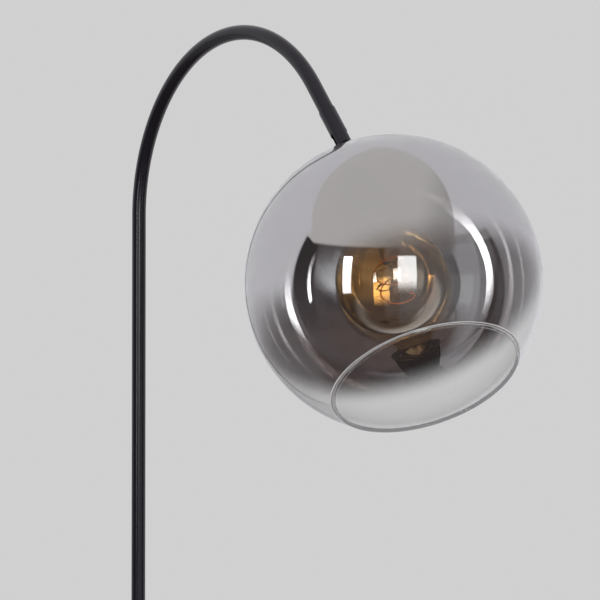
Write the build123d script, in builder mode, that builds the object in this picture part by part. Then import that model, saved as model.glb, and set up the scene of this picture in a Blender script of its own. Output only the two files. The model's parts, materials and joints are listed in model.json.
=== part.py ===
# Arc floor lamp with a glass globe that hangs from a swivelling, tilting knuckle.
# Frame: origin at the centre of the base's underside, +Z up, +X from the pole toward the shade.
from build123d import *
from math import acos, asin, cos, degrees, radians, sin, sqrt
import os

# ---- driving dimensions: millimetres and degrees -------------------------------------------
total_height = 1500.0
tube_d = 14.0  # pole and arc, one size of steel tube
tube_wall = 1.2
bend_radius = 165.0  # centreline of the arc
bend_angle = 141.5  # how far the arc turns over from upright
arc_leg = 420.0  # straight run of the arc tube below the bend
arm_length = 44.0  # straight run after the bend, to the cut end
pole_offset = 85.0  # pole behind the centre of the base

base_d = 260.0
base_height = 28.0
cover_wall = 1.5
cover_edge = 4.0  # rounding of the cover's top edge
cover_lift = 1.2  # the cover's rim stays off the floor
pad_thick = 2.0
weight_gap = 2.0  # between the weight and the cover's side
weight_recess_d = 208.0
weight_recess_depth = 11.0
clamp_roof = 4.0  # iron left above the stud's pocket
pocket_d = 28.0

thread_d = 10.0  # M10 x 1 lamp thread: stud, nipples, neck
thread_bore = 6.8
nut_flats = 14.0
nut_thick = 3.0
washer_d = 22.0
washer_thick = 1.5
bushing_length = 16.0
bushing_recess = 0.5  # the bushings sit this far inside the tube ends
nipple_length = 28.0
flange_d = 34.0
flange_thick = 5.0
flange_seat = 3.0  # how deep the pole stands in the flange

cable_d = 5.2
core_d = 2.0
lead_out = 9.0  # terminals, either side of the shade's axis
lead_turn = 2.0
gland_d = 9.0
gland_flange_d = 12.0
gland_flange = 2.0
gland_bore = 6.0
gland_height = 8.2  # axis of the gland above the floor
cable_turn = 9.0  # tightest turn of the cable, under the stud

sleeve_wall = 0.75
sleeve_top = 32.0  # where the sleeve begins on the arm, from the end of the bend
pivot_along = 82.0  # tilt pin, from the end of the bend
slot_top = 60.0  # the fork's slot begins here, to leave the leads room
slot_width = 9.0
disc_thick = 0.3  # friction discs on both sides of the tongue
stem_d = 8.0
stem_bore = 5.8
stem_seat = 7.5  # thread of the stem in the sleeve
stem_nut_clear = 0.3  # round the nut, inside the tube
stem_nut = 3.0
thrust_washer = 0.5
screw_d = 4.0
screw_head_d = 6.6
screw_head = 1.6
screw_depth = 2.6  # thread in the tongue
channel_wide = 2.6  # lead channel in the tongue
channel_long = 5.4

swivel_rest = 52.5  # the fork's turn on the arm as photographed
tilt_rest = 7.3  # the shade's tilt out of line with the arm as photographed

globe_d = 250.0
glass_wall = 2.2
mouth_d = 157.0
lip_d = 3.4  # fire-polished bead round the mouth
neck_hole_d = 14.0
cap_d = 100.0
cap_wall = 1.5
cap_lift = 0.5  # rubber between the cap and the glass
cap_boss_d = 22.0
cap_boss = 0.3  # flat seat for the tongue's hub, above the dome
gasket_d = 44.0
gasket_thick = 0.45
dish_d = 40.0
dish_wall = 1.5
hub_d = 20.0
hub_height = 6.0
hub_clear = 0.95  # between the hub and the fork's round end

bulb_d = 95.0
bulb_neck = 43.0  # what the bulb measures beyond its ball
bulb_wall = 1.0
shell_d = 26.4  # E27 screw shell
shell_length = 24.0
insulator = 3.6
tip_d = 10.0
filament_d = 1.7
filament_coil_d = 27.0
filament_pitch = 19.0
filament_turns = 2.25
filament_wire_d = 0.8

holder_d = 39.0
holder_wall = 2.0
holder_dome_height = 14.0
holder_mouth = 30.0  # length of the skirt below the core
core_thick = 8.0
contact_height = 1.6
collar_d = 16.0

fit = 0.05  # radial clearance of a running fit or a seat
free = 0.3  # clearance where nothing should touch

# ---- places worked out from the dimensions -------------------------------------------------
tube_bore = tube_d - 2 * tube_wall
sleeve_d = tube_d + 2 * sleeve_wall
sleeve_r = sleeve_d / 2
stem_nut_d = tube_bore - 2 * stem_nut_clear
bend_height = total_height - bend_radius - tube_d / 2
leg_foot = bend_height - arc_leg
pole_foot = base_height + flange_thick - flange_seat
seam = (pole_foot + leg_foot) / 2  # joint between the two pole tubes
pole_x = -pole_offset

globe_r = globe_d / 2
cap_inner = globe_r + cap_lift
cap_outer = cap_inner + cap_wall
cap_top = cap_outer + cap_boss
hub_top = cap_top + hub_height
pivot_to_globe = hub_top + hub_clear + sleeve_r

arm_down = Vector(sin(radians(bend_angle)), 0, cos(radians(bend_angle)))
arm_inward = Vector(cos(radians(bend_angle)), 0, -sin(radians(bend_angle)))
lean = arm_inward * cos(radians(swivel_rest)) + Vector(0, -1, 0) * sin(radians(swivel_rest))
pin_dir = arm_down.cross(lean)
shade_down = arm_down * cos(radians(tilt_rest)) + lean * sin(radians(tilt_rest))

bend_end = Vector(
    pole_x + bend_radius * (1 - cos(radians(bend_angle))),
    0,
    bend_height + bend_radius * sin(radians(bend_angle)),
)
pivot = bend_end + arm_down * pivot_along
globe_centre = pivot + shade_down * pivot_to_globe

# arc: the plane of the bent tube.  arm: Z down along the tube's straight end, X along the pin.
# head: at the globe's centre, Z up toward the pin.  head_side: X outward, Y up the same axis.
arc = Plane((pole_x, 0, 0), x_dir=(1, 0, 0), z_dir=(0, -1, 0))
arm = Plane(bend_end, x_dir=pin_dir, z_dir=arm_down)
arm_side = Plane(bend_end, x_dir=arm_down.cross(pin_dir), z_dir=pin_dir)
head = Plane(globe_centre, x_dir=pin_dir, z_dir=-shade_down)
head_side = Plane(globe_centre, x_dir=pin_dir, z_dir=pin_dir.cross(-shade_down))
head_axis = Axis(globe_centre, -shade_down)
pin_side = Plane(globe_centre, x_dir=(-shade_down).cross(pin_dir), z_dir=pin_dir)


def on_pole(height):
    return Plane((pole_x, 0, height))


# ---- base ----------------------------------------------------------------------------------
base_r = base_d / 2
cover_inner_r = base_r - cover_wall
weight_r = cover_inner_r - weight_gap
weight_top = base_height - cover_wall
pocket_roof = weight_top - clamp_roof
washer_foot = pocket_roof - washer_thick
nut_foot = washer_foot - nut_thick
stud_foot = gland_height + cable_turn + 0.2
gland_face_x = -(cover_inner_r - gland_flange)  # inner end of the gland
notch_width = gland_flange_d + 4.0

with BuildPart() as base_pad:
    with BuildSketch():
        Circle(weight_r - 2.5)
    extrude(amount=pad_thick)
    chamfer(base_pad.edges().group_by(Axis.Z)[0], 0.6)

with BuildPart() as base_weight:
    with BuildSketch(Plane.XY.offset(pad_thick)):
        Circle(weight_r)
    extrude(amount=weight_top - pad_thick)
    fillet(base_weight.edges().group_by(Axis.Z)[-1], 3.0)
    with BuildSketch(Plane.XY.offset(pad_thick)):
        Circle(weight_recess_d / 2)
    extrude(amount=weight_recess_depth, mode=Mode.SUBTRACT)
    # ribs of the casting, from the hub to the rim
    with BuildSketch(Plane.XY.offset(pad_thick)):
        Circle(18.0)
        with PolarLocations(0, 5, start_angle=36):
            with Locations((weight_recess_d / 4, 0)):
                Rectangle(weight_recess_d / 2 + 4.0, 7.0)
    extrude(amount=weight_recess_depth)
    with BuildSketch(on_pole(pad_thick)):
        Circle(pocket_d / 2)
    extrude(amount=pocket_roof - pad_thick, mode=Mode.SUBTRACT)
    with BuildSketch(on_pole(pad_thick)):
        Circle(thread_d / 2 + free)
    extrude(amount=weight_top, mode=Mode.SUBTRACT)
    with BuildSketch(Plane.XY.offset(pad_thick)):
        with Locations(((pole_x - weight_r) / 2 - 2.0, 0)):
            Rectangle(weight_r + pole_x + 4.0, notch_width)
    extrude(amount=gland_height + gland_flange_d / 2 + 1.0, mode=Mode.SUBTRACT)

with BuildPart() as base_cover:
    with BuildSketch(Plane.XY.offset(cover_lift)):
        Circle(base_r)
    extrude(amount=base_height - cover_lift)
    fillet(base_cover.edges().group_by(Axis.Z)[-1], cover_edge)
    offset(amount=-cover_wall, openings=base_cover.faces().sort_by(Axis.Z)[0])
    with BuildSketch(on_pole(weight_top)):
        Circle(thread_d / 2 + free)
    extrude(amount=cover_wall, mode=Mode.SUBTRACT)
    with BuildSketch(Plane((-base_r - 1, 0, gland_height), x_dir=(0, 1, 0), z_dir=(1, 0, 0))):
        Circle(gland_d / 2)
    extrude(amount=cover_wall + 2.0, mode=Mode.SUBTRACT)

gland_axis = Plane((gland_face_x, 0, gland_height), x_dir=(0, 1, 0), z_dir=(-1, 0, 0))
gland_length = base_r + gland_face_x + gland_flange

with BuildPart() as cord_gland:
    with BuildSketch(gland_axis):
        Circle(gland_flange_d / 2)
    extrude(amount=gland_flange - 0.6)
    with BuildSketch(gland_axis):
        Circle(gland_d / 2 - fit)
    extrude(amount=gland_length)
    with BuildSketch(gland_axis.offset(gland_length - gland_flange + 0.6)):
        Circle(gland_flange_d / 2 - 0.5)
    extrude(amount=gland_flange)
    fillet(cord_gland.edges().group_by(Axis.X)[0], 0.8)
    with BuildSketch(gland_axis):
        Circle(gland_bore / 2)
    extrude(amount=gland_length + 2.0, mode=Mode.SUBTRACT)

with BuildPart() as foot_flange:
    with BuildSketch(on_pole(base_height)):
        Circle(flange_d / 2)
    extrude(amount=flange_thick)
    fillet(foot_flange.edges().group_by(Axis.Z)[-1], 2.0)
    with BuildSketch(on_pole(base_height)):
        Circle(thread_d / 2 + fit)
    extrude(amount=flange_thick, mode=Mode.SUBTRACT)
    with BuildSketch(on_pole(pole_foot)):
        Circle(tube_d / 2 + fit)
    extrude(amount=flange_seat, mode=Mode.SUBTRACT)

with BuildPart() as base_stud:
    with BuildSketch(on_pole(stud_foot)):
        Circle(thread_d / 2)
        Circle(thread_bore / 2, mode=Mode.SUBTRACT)
    extrude(amount=pole_foot + bushing_length - stud_foot)
    chamfer(base_stud.edges().group_by(Axis.Z)[0].sort_by(SortBy.LENGTH)[-1], 0.5)

with BuildPart() as base_nut:
    with BuildSketch(on_pole(nut_foot)):
        RegularPolygon(nut_flats / 2, 6, major_radius=False)
        Circle(thread_d / 2, mode=Mode.SUBTRACT)
    extrude(amount=nut_thick)

with BuildPart() as base_washer:
    with BuildSketch(on_pole(washer_foot)):
        Circle(washer_d / 2)
        Circle(thread_d / 2 + 0.25, mode=Mode.SUBTRACT)
    extrude(amount=washer_thick)

# ---- pole and arc --------------------------------------------------------------------------


def straight_tube(foot, top):
    with BuildPart() as tube:
        with BuildSketch(on_pole(foot)):
            Circle(tube_d / 2)
            Circle(tube_bore / 2, mode=Mode.SUBTRACT)
        extrude(amount=top - foot)
        ends = tube.edges().filter_by(GeomType.CIRCLE)
        chamfer(ends.filter_by(lambda edge: edge.radius > tube_bore / 2 + 0.1), 0.3)
    return tube


pole_lower = straight_tube(pole_foot, seam)
pole_upper = straight_tube(seam, leg_foot)

with BuildPart() as arc_tube:
    with BuildLine(arc) as arc_line:
        leg = Line((0, leg_foot), (0, bend_height))
        bow = JernArc(leg @ 1, (0, 1), bend_radius, -bend_angle)
        Line(bow @ 1, bend_end + arm_down * arm_length)
    with BuildSketch(on_pole(leg_foot)):
        Circle(tube_d / 2)
        Circle(tube_bore / 2, mode=Mode.SUBTRACT)
    sweep(path=arc_line.wires()[0])

with BuildPart() as tube_bushings:
    for foot in (
        pole_foot + bushing_recess,
        seam - bushing_length - bushing_recess,
        seam + bushing_recess,
        leg_foot - bushing_length - bushing_recess,
        leg_foot + bushing_recess,
    ):
        with BuildSketch(on_pole(foot)):
            Circle(tube_bore / 2)
            Circle(thread_d / 2, mode=Mode.SUBTRACT)
        extrude(amount=bushing_length)

with BuildPart() as joint_nipples:
    for middle in (seam, leg_foot):
        with BuildSketch(on_pole(middle - nipple_length / 2)):
            Circle(thread_d / 2)
            Circle(thread_bore / 2, mode=Mode.SUBTRACT)
        extrude(amount=nipple_length)

# the cable lies inside all the way, from the gland to the slot of the fork
with BuildPart() as mains_cable:
    with BuildLine(arc) as cable_line:
        under = Line((gland_face_x - pole_x, gland_height), (-cable_turn, gland_height))
        rise = JernArc(under @ 1, (1, 0), cable_turn, 90)
        climb = Line(rise @ 1, (0, bend_height))
        over = JernArc(climb @ 1, (0, 1), bend_radius, -bend_angle)
        Line(over @ 1, bend_end + arm_down * (slot_top - 4.0))
    with BuildSketch(Plane((gland_face_x, 0, gland_height), z_dir=(1, 0, 0))):
        Circle(cable_d / 2)
    sweep(path=cable_line.wires()[0])

# ---- swivel in the end of the arc ----------------------------------------------------------
web_top = arm_length + thrust_washer
stem_top = arm_length - bushing_length - stem_nut - 1.0

with BuildPart() as end_bushing:
    with BuildSketch(arm.offset(arm_length - bushing_length)):
        Circle(tube_bore / 2)
        Circle(stem_d / 2 + fit, mode=Mode.SUBTRACT)
    extrude(amount=bushing_length)

with BuildPart() as swivel_stem:
    with BuildSketch(arm.offset(stem_top)):
        Circle(stem_d / 2)
        Circle(stem_bore / 2, mode=Mode.SUBTRACT)
    extrude(amount=web_top + stem_seat - stem_top)

with BuildPart() as stem_nut_ring:
    with BuildSketch(arm.offset(arm_length - bushing_length - stem_nut)):
        Circle(stem_nut_d / 2)
        Circle(stem_d / 2, mode=Mode.SUBTRACT)
        with PolarLocations(stem_nut_d / 2, 2):
            Rectangle(2.0, 1.6, mode=Mode.SUBTRACT)
    extrude(amount=stem_nut)

with BuildPart() as swivel_washer:
    with BuildSketch(arm.offset(arm_length)):
        Circle(tube_d / 2 - 0.2)
        Circle(stem_d / 2 + 0.2, mode=Mode.SUBTRACT)
    extrude(amount=thrust_washer)

# ---- knuckle -------------------------------------------------------------------------------
tongue_thick = slot_width - 2 * disc_thick
head_seat = sleeve_r - screw_head - 0.2  # the screw head's seat, from the fork's axis

with BuildPart() as knuckle_fork:
    with BuildSketch(arm.offset(sleeve_top)):
        Circle(sleeve_r)
    extrude(amount=pivot_along + sleeve_r - sleeve_top)
    chamfer(knuckle_fork.faces().sort_by(Axis(bend_end, arm_down))[0].edges(), 0.4)
    # cheeks rounded about the pin
    with BuildSketch(arm_side):
        with BuildLine():
            near = Line((-sleeve_r, pivot_along), (-sleeve_r, sleeve_top))
            over = Line(near @ 1, (sleeve_r, sleeve_top))
            far = Line(over @ 1, (sleeve_r, pivot_along))
            RadiusArc(far @ 1, near @ 0, sleeve_r)
        make_face()
    extrude(amount=sleeve_r, both=True, mode=Mode.INTERSECT)
    with BuildSketch(arm_side):
        with Locations((0, (slot_top + pivot_along + sleeve_r) / 2 + 1.0)):
            Rectangle(sleeve_d + 2.0, pivot_along + sleeve_r - slot_top + 2.0)
    extrude(amount=slot_width / 2, both=True, mode=Mode.SUBTRACT)
    with BuildSketch(arm.offset(sleeve_top)):
        Circle(tube_d / 2 + fit)
    extrude(amount=web_top - sleeve_top, mode=Mode.SUBTRACT)
    with BuildSketch(arm.offset(web_top)):
        Circle(stem_d / 2)
    extrude(amount=stem_seat, mode=Mode.SUBTRACT)
    with BuildSketch(arm.offset(web_top + stem_seat)):
        Circle(stem_d / 2 - 0.6)
    extrude(amount=slot_top - web_top - stem_seat + 1.0, mode=Mode.SUBTRACT)
    with BuildSketch(arm_side):
        with Locations((0, pivot_along)):
            Circle(screw_d / 2 + fit)
    extrude(amount=sleeve_r + 1.0, both=True, mode=Mode.SUBTRACT)
    for side in (1, -1):
        with BuildSketch(arm_side.offset(side * head_seat)):
            with Locations((0, pivot_along)):
                Circle(screw_head_d / 2 + 0.1)
        extrude(amount=side * sleeve_r, mode=Mode.SUBTRACT)

with BuildPart() as friction_discs:
    for side in (1, -1):
        with BuildSketch(arm_side.offset(side * tongue_thick / 2)):
            with Locations((0, pivot_along)):
                Circle(sleeve_r - 0.6)
                Circle(screw_d / 2 + fit, mode=Mode.SUBTRACT)
        extrude(amount=side * disc_thick)

with BuildPart() as pivot_screws:
    for side in (1, -1):
        with BuildSketch(arm_side.offset(side * head_seat)):
            with Locations((0, pivot_along)):
                Circle(screw_head_d / 2)
        extrude(amount=side * screw_head)
        with BuildSketch(arm_side.offset(side * (head_seat + screw_head - 0.9))):
            with Locations((0, pivot_along)):
                RegularPolygon(1.3, 6)
        extrude(amount=side * 0.9, mode=Mode.SUBTRACT)
        with BuildSketch(arm_side.offset(side * (tongue_thick / 2 - screw_depth))):
            with Locations((0, pivot_along)):
                Circle(screw_d / 2)
        extrude(amount=side * (head_seat - tongue_thick / 2 + screw_depth))

with BuildPart() as knuckle_tongue:
    with BuildSketch(head_side):
        with BuildLine():
            Polyline(
                (0, cap_top),
                (hub_d / 2, cap_top),
                (hub_d / 2, cap_top + 1.6),
                (sleeve_r, hub_top),
                (0, hub_top),
                close=True,
            )
        make_face()
    revolve(axis=head_axis)
    with BuildSketch(pin_side):
        with Locations((0, (hub_top + pivot_to_globe) / 2)):
            Rectangle(2 * sleeve_r - 0.8, pivot_to_globe - hub_top)
        with Locations((0, pivot_to_globe)):
            Circle(sleeve_r - 0.4)
    extrude(amount=tongue_thick / 2, both=True)
    with BuildSketch(head.offset(cap_top)):
        Circle(thread_d / 2)
    extrude(amount=hub_height - 1.0, mode=Mode.SUBTRACT)
    with BuildSketch(head.offset(cap_top)):
        SlotOverall(channel_long, channel_wide, rotation=90)
    extrude(amount=pivot_to_globe + sleeve_r - cap_top, mode=Mode.SUBTRACT)
    for side in (1, -1):
        with BuildSketch(pin_side.offset(side * tongue_thick / 2)):
            with Locations((0, pivot_to_globe)):
                Circle(screw_d / 2)
        extrude(amount=-side * screw_depth, mode=Mode.SUBTRACT)

# ---- neck: everything clamped round the hole in the glass ----------------------------------


def dome_ring(inner, outer, hole_r, rim_r):
    """A ring cut from a spherical shell round the shade's axis."""
    with BuildPart() as ring:
        with BuildSketch(head_side):
            with BuildLine():
                far = asin(rim_r / outer)
                near = asin(hole_r / outer)
                top = CenterArc((0, 0), outer, 90 - degrees(far), degrees(far - near))
                far = asin(rim_r / inner)
                near = asin(hole_r / inner)
                under = CenterArc((0, 0), inner, 90 - degrees(far), degrees(far - near))
                Line(top @ 0, under @ 0)
                Line(top @ 1, under @ 1)
            make_face()
        revolve(axis=head_axis)
    return ring


with BuildPart() as shade_cap:
    with BuildSketch(head_side):
        with BuildLine():
            hole = thread_d / 2 + 0.1
            rim_out = degrees(acos(cap_d / 2 / cap_outer))
            rim_in = degrees(acos(cap_d / 2 / cap_inner))
            boss_end = degrees(acos(cap_boss_d / 2 / cap_outer))
            hole_in = degrees(acos(hole / cap_inner))
            dome = CenterArc((0, 0), cap_outer, rim_out, boss_end - rim_out)
            lining = CenterArc((0, 0), cap_inner, rim_in, hole_in - rim_in)
            Line(lining @ 0, dome @ 0)
            Polyline(dome @ 1, (cap_boss_d / 2 - 0.5, cap_top), (hole, cap_top), lining @ 1)
        make_face()
    revolve(axis=head_axis)

outer_gasket = dome_ring(globe_r + 0.02, cap_inner - 0.02, neck_hole_d / 2 + 0.5, gasket_d / 2)
glass_inner = globe_r - glass_wall
inner_gasket = dome_ring(
    glass_inner - gasket_thick, glass_inner - 0.02, neck_hole_d / 2 + 0.5, gasket_d / 2 - 2.5
)
dish_outer = glass_inner - gasket_thick - 0.02
clamp_dish = dome_ring(dish_outer - dish_wall, dish_outer, thread_d / 2 + 0.1, dish_d / 2)

with BuildPart() as glass_shade:
    with BuildSketch(head_side):
        with BuildLine():
            hole_angle = degrees(acos(neck_hole_d / 2 / globe_r))
            rim_angle = -degrees(acos(mouth_d / 2 / globe_r))
            outside = CenterArc((0, 0), globe_r, rim_angle, hole_angle - rim_angle)
            hole_angle = degrees(acos(neck_hole_d / 2 / glass_inner))
            inside = CenterArc((0, 0), glass_inner, rim_angle, hole_angle - rim_angle)
            Line(outside @ 0, inside @ 0)
            Line(outside @ 1, inside @ 1)
        make_face()
        with Locations((outside @ 0 + inside @ 0) / 2):
            Circle(lip_d / 2)
    revolve(axis=head_axis)

bush_foot = glass_inner - 0.2
with BuildPart() as neck_bush:
    with BuildSketch(head.offset(bush_foot)):
        Circle(neck_hole_d / 2 - fit)
        Circle(thread_d / 2 + fit, mode=Mode.SUBTRACT)
    extrude(amount=glass_wall)

nut_head = sqrt((dish_outer - dish_wall) ** 2 - (nut_flats / sqrt(3)) ** 2) - 0.02
holder_top = nut_head - nut_thick - 0.4
dome_foot = holder_top - holder_dome_height
core_top = dome_foot + 2.0
core_foot = core_top - core_thick
nipple_foot = holder_top - 6.0

# the bulb hangs from the lampholder's centre contact
bulb_r = bulb_d / 2
tip_end = core_foot - contact_height
bulb_above = tip_end - bulb_neck - bulb_r
shell_top = tip_end - insulator
shell_foot = shell_top - shell_length
neck_r = shell_d / 2 - 0.6
print("bulb centre above the globe's centre:", round(bulb_above, 2))

with BuildPart() as clamp_nut:
    with BuildSketch(head.offset(nut_head - nut_thick)):
        RegularPolygon(nut_flats / 2, 6, major_radius=False)
        Circle(thread_d / 2, mode=Mode.SUBTRACT)
    extrude(amount=nut_thick)

with BuildPart() as neck_nipple:
    with BuildSketch(head.offset(nipple_foot)):
        Circle(thread_d / 2)
        Circle(thread_bore / 2, mode=Mode.SUBTRACT)
    extrude(amount=hub_top - 1.2 - nipple_foot)

# ---- lampholder ----------------------------------------------------------------------------
holder_r = holder_d / 2
skirt_foot = core_foot - holder_mouth

with BuildPart() as holder_dome:
    with BuildSketch(head_side):
        with BuildLine():
            Polyline(
                (thread_d / 2, holder_top),
                (collar_d / 2, holder_top),
                (collar_d / 2, holder_top - 6.0),
                (holder_r, dome_foot + 5.0),
                (holder_r, dome_foot - 3.0),
                (holder_r - holder_wall, dome_foot - 3.0),
                (holder_r - holder_wall, dome_foot + 4.0),
                (collar_d / 2 - 1.0, holder_top - 8.0),
                (thread_d / 2, holder_top - 8.0),
                close=True,
            )
        make_face()
    revolve(axis=head_axis)
    fillet(holder_dome.edges().filter_by(GeomType.CIRCLE).sort_by(head_axis)[-1], 1.0)

with BuildPart() as holder_core:
    with BuildSketch(head.offset(core_foot)):
        Circle(holder_r - holder_wall - fit)
    extrude(amount=core_thick)
    # wells for the terminals, and the lead holes
    with BuildSketch(head.offset(core_top - 5.0)):
        with Locations((0, lead_out), (0, -lead_out)):
            Rectangle(8.0, 6.0)
    extrude(amount=5.0, mode=Mode.SUBTRACT)
    with BuildSketch(head.offset(core_foot)):
        Circle(4.0)
    extrude(amount=2.0, mode=Mode.SUBTRACT)

with BuildPart() as terminal_blocks:
    with BuildSketch(head.offset(core_top - 5.0)):
        with Locations((0, lead_out), (0, -lead_out)):
            Rectangle(7.0, 5.0)
    extrude(amount=4.4)
    with BuildSketch(head.offset(core_top - 2.6)):
        with Locations((0, lead_out), (0, -lead_out)):
            Circle(core_d / 2 + fit)
    extrude(amount=2.6, mode=Mode.SUBTRACT)

with BuildPart() as holder_skirt:
    with BuildSketch(head_side):
        with BuildLine():
            Polyline(
                (holder_r, dome_foot - 3.0),
                (holder_r, skirt_foot + 2.0),
                (holder_r + 1.5, skirt_foot + 1.0),
                (holder_r + 1.5, skirt_foot),
                (shell_d / 2 + 1.6, skirt_foot),
                (shell_d / 2 + 1.6, core_foot),
                (holder_r - holder_wall, core_foot),
                (holder_r - holder_wall, dome_foot - 3.0),
                close=True,
            )
        make_face()
    revolve(axis=head_axis)
    # grip ribs round the skirt
    with BuildSketch(head.offset(skirt_foot + 5.0)):
        with PolarLocations(holder_r, 12):
            Rectangle(1.2, 3.0)
    extrude(amount=holder_mouth - 10.0)

with BuildPart() as socket_shell:
    with BuildSketch(head.offset(skirt_foot + 3.0)):
        Circle(shell_d / 2 + 1.5)
        Circle(shell_d / 2 + 0.5, mode=Mode.SUBTRACT)
    extrude(amount=core_foot - skirt_foot - 3.0)

with BuildPart() as centre_contact:
    with BuildSketch(head.offset(tip_end)):
        Circle(4.0)
    extrude(amount=contact_height + 2.0)

with BuildPart() as head_leads:
    for side in (1, -1):
        lead_in = side * (core_d / 2 + 0.15)
        with BuildLine(pin_side):
            lead = FilletPolyline(
                (lead_in, pivot_to_globe + sleeve_r - 1.0),
                (lead_in, nipple_foot - 1.5),
                (side * lead_out, nipple_foot - 5.5),
                (side * lead_out, core_top - 2.6),
                radius=lead_turn,
            )
        with BuildSketch(head.offset(pivot_to_globe + sleeve_r - 1.0)):
            with Locations((0, lead_in)):
                Circle(core_d / 2)
        sweep(path=lead)

# ---- bulb ----------------------------------------------------------------------------------

with BuildPart() as bulb_glass:
    with BuildSketch(head_side):
        with BuildLine():
            ball = CenterArc((0, bulb_above), bulb_r, -90, 90 + 58)
            throat = (neck_r + 0.9, shell_foot - 8.0)
            Spline(ball @ 1, throat, (neck_r, shell_foot), tangents=[ball % 1, (0, 1)])
            Line((neck_r, shell_foot), (neck_r - bulb_wall, shell_foot))
            well = CenterArc((0, bulb_above), bulb_r - bulb_wall, -90, 90 + 58)
            Spline(
                (neck_r - bulb_wall, shell_foot),
                (throat[0] - bulb_wall, throat[1]),
                well @ 1,
                tangents=[(0, -1), -(well % 1)],
            )
            Line(ball @ 0, well @ 0)
        make_face()
    revolve(axis=head_axis)

with BuildPart() as bulb_shell:
    with BuildSketch(head_side):
        with BuildLine():
            Polyline(
                (neck_r + 0.1, shell_foot - 1.0),
                (neck_r + 0.5, shell_foot - 1.0),
                (neck_r + 0.5, shell_top - 3.0),
                (neck_r - 2.5, shell_top),
                (neck_r - 3.0, shell_top),
                (neck_r - 3.0, shell_top - 0.5),
                (neck_r, shell_top - 3.4),
                (neck_r, shell_foot + 0.05),
                (neck_r + 0.1, shell_foot + 0.05),
                close=True,
            )
        make_face()
    revolve(axis=head_axis)

with BuildPart() as bulb_insulator:
    with BuildSketch(head_side):
        with BuildLine():
            Polyline(
                (0, shell_top),
                (neck_r - 3.0, shell_top),
                (tip_d / 2, tip_end - 1.0),
                (0, tip_end - 1.0),
                close=True,
            )
        make_face()
    revolve(axis=head_axis)

with BuildPart() as bulb_tip:
    with BuildSketch(head.offset(tip_end - 1.0)):
        Circle(tip_d / 2 - 0.6)
    extrude(amount=1.0)
    chamfer(bulb_tip.faces().sort_by(head_axis)[-1].edges(), 0.4)

stem_foot = bulb_above + 16.0
with BuildPart() as bulb_stem:
    with BuildSketch(head_side):
        with BuildLine():
            Polyline(
                (0, stem_foot),
                (2.6, stem_foot),
                (3.2, stem_foot + 2.0),
                (2.6, stem_foot + 6.0),
                (3.4, shell_foot - 8.0),
                (neck_r - bulb_wall - fit, shell_foot - 1.0),
                (neck_r - bulb_wall - fit, shell_foot),
                (0, shell_foot),
                close=True,
            )
        make_face()
    revolve(axis=head_axis)

coil_r = filament_coil_d / 2
coil_height = filament_pitch * filament_turns
coil_foot = bulb_above - coil_height / 2 - 3.0

with BuildPart() as filament:
    with BuildLine():
        coil = Helix(
            pitch=filament_pitch,
            height=coil_height,
            radius=coil_r,
            center=globe_centre - shade_down * coil_foot,
            direction=-shade_down,
        )
    with BuildSketch(Plane(coil @ 0, z_dir=coil % 0)):
        Circle(filament_d / 2)
    sweep(path=coil, is_frenet=True)

# stiff wires that carry the two ends of the filament from the glass stem
with BuildPart() as filament_wires:
    for end, root_height, root_r in ((0, stem_foot - 0.15, 1.2), (1, stem_foot + 2.0, 3.3)):
        tip = coil @ end
        tip_height = coil_foot + end * coil_height
        outward = (tip - globe_centre + shade_down * tip_height).normalized()
        root = globe_centre - shade_down * root_height + outward * root_r
        with BuildSketch(Plane(root, z_dir=(tip - root).normalized())):
            Circle(filament_wire_d / 2)
        extrude(amount=(tip - root).length - filament_d / 2 - fit)

os.makedirs("parts", exist_ok=True)
pieces = {
    "base_pad": base_pad,
    "base_weight": base_weight,
    "base_cover": base_cover,
    "cord_gland": cord_gland,
    "foot_flange": foot_flange,
    "base_stud": base_stud,
    "base_nut": base_nut,
    "base_washer": base_washer,
    "pole_lower": pole_lower,
    "pole_upper": pole_upper,
    "arc_tube": arc_tube,
    "tube_bushings": tube_bushings,
    "joint_nipples": joint_nipples,
    "mains_cable": mains_cable,
    "end_bushing": end_bushing,
    "swivel_stem": swivel_stem,
    "stem_nut": stem_nut_ring,
    "swivel_washer": swivel_washer,
    "knuckle_fork": knuckle_fork,
    "friction_discs": friction_discs,
    "pivot_screws": pivot_screws,
    "knuckle_tongue": knuckle_tongue,
    "shade_cap": shade_cap,
    "outer_gasket": outer_gasket,
    "inner_gasket": inner_gasket,
    "clamp_dish": clamp_dish,
    "clamp_nut": clamp_nut,
    "neck_bush": neck_bush,
    "neck_nipple": neck_nipple,
    "glass_shade": glass_shade,
    "holder_dome": holder_dome,
    "holder_core": holder_core,
    "holder_skirt": holder_skirt,
    "socket_shell": socket_shell,
    "head_leads": head_leads,
    "terminal_blocks": terminal_blocks,
    "centre_contact": centre_contact,
    "bulb_glass": bulb_glass,
    "bulb_shell": bulb_shell,
    "bulb_insulator": bulb_insulator,
    "bulb_tip": bulb_tip,
    "bulb_stem": bulb_stem,
    "filament": filament,
    "filament_wires": filament_wires,
}
for name, piece in pieces.items():
    piece.part.label = name
    export_step(piece.part, f"parts/{name}.step")
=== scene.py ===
import bpy
import bmesh
import json
from math import radians, degrees, sin, cos, tan, pi, sqrt, acos, atan2
from mathutils import Vector, Matrix


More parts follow.
